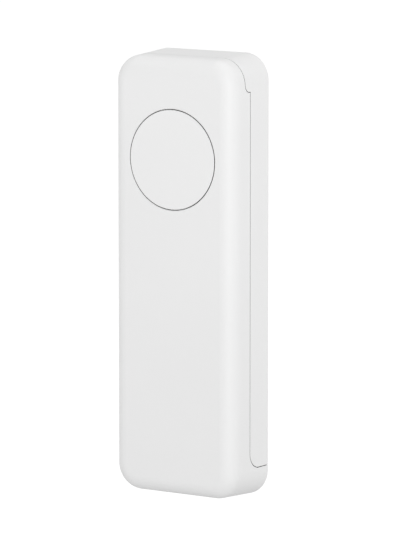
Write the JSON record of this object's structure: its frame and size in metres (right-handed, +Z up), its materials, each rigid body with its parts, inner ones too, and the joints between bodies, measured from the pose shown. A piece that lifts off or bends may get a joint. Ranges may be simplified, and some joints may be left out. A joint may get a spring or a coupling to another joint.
{
  "type": "wireless doorbell push",
  "caption": "Slim wall-mounted wireless doorbell push with a round press button, a slide-off front unit, and cells and a radio board inside.",
  "frame": {"origin": "centre of the wall face, at mid-height", "axes": "+X to the right as seen from the front, +Y into the wall, +Z up"},
  "size_m": [0.039, 0.0176, 0.12],
  "materials": {
    "shell_white": "moulded ABS, fine satin surface",
    "button_white": "moulded ABS, satin surface",
    "frame_grey": "moulded ABS, plain inner part",
    "foam_tape": "closed-cell foam tape",
    "silicone": "translucent silicone",
    "seal_rubber": "soft sealing rubber",
    "screw_steel": "zinc-plated steel",
    "board_laminate": "glass-fibre laminate under solder mask",
    "tin_plate": "tin-plated sheet",
    "spring_steel": "stainless spring sheet",
    "nickel_plate": "nickel-plated spring steel",
    "brass_strip": "bare brass strip",
    "cell_can": "nickel-plated steel can",
    "cell_sleeve": "shrink sleeve, plain",
    "black_moulding": "glass-filled moulding",
    "plunger_grey": "moulded plunger",
    "plunger_red": "moulded plunger",
    "chip_black": "moulded package",
    "tantalum_case": "moulded case",
    "chip_ceramic": "fired ceramic"
  },
  "bodies": {
    "rear": {"rear_cover": "shell_white", "mounting_tape": "foam_tape"},
    "button": {"button_cap": "button_white"},
    "push_plunger": {"push_switch_plunger": "plunger_grey"},
    "pair_plunger": {"pair_switch_plunger": "plunger_red"},
    "front_unit": {"antenna": "brass_strip", "board_screws": "screw_steel", "bulk_capacitor": "tantalum_case", "button_boot": "silicone", "capacitors": "chip_ceramic", "cell_left": "cell_can", "cell_left_sleeve": "cell_sleeve", "cell_right": "cell_can", "cell_right_sleeve": "cell_sleeve", "controller": "chip_black", "controller_leads": "tin_plate", "crystal": "tin_plate", "frame_gasket": "seal_rubber", "frame_screws": "screw_steel", "front_housing": "shell_white", "inner_frame": "frame_grey", "link_contact": "nickel_plate", "link_spring": "nickel_plate", "main_board": "board_laminate", "negative_contact": "nickel_plate", "pair_switch_body": "black_moulding", "pair_switch_cover": "tin_plate", "pair_switch_dome": "spring_steel", "pair_switch_legs": "tin_plate", "positive_contact": "nickel_plate", "push_switch_body": "black_moulding", "push_switch_cover": "tin_plate", "push_switch_dome": "spring_steel", "push_switch_legs": "tin_plate", "radio_board": "board_laminate", "radio_chip": "chip_black", "radio_shield": "tin_plate", "resistors": "chip_black", "top_spring": "nickel_plate"}
  },
  "joints": [
    {"name": "unit_slide", "type": "slide", "parent": "rear", "child": "front_unit", "axis": [0, 0, -1], "range_m": [0, 0.11]},
    {"name": "button_press", "type": "slide", "parent": "front_unit", "child": "button", "axis": [0, 1, 0], "range_m": [0, 0.0005], "stiffness_N_per_m": 3000, "springref_m": -0.0004, "deforming": ["button_boot"]},
    {"name": "switch_press", "type": "slide", "parent": "front_unit", "child": "push_plunger", "axis": [0, 1, 0], "range_m": [0, 0.0005], "deforming": ["push_switch_dome"]},
    {"name": "pair_press", "type": "slide", "parent": "front_unit", "child": "pair_plunger", "axis": [0, -1, 0], "range_m": [0, 0.0003], "stiffness_N_per_m": 5000, "springref_m": -0.0003, "deforming": ["pair_switch_dome"]}
  ],
  "couplings": [
    {"joint": "switch_press", "follows": "button_press", "ratio": 1}
  ]
}
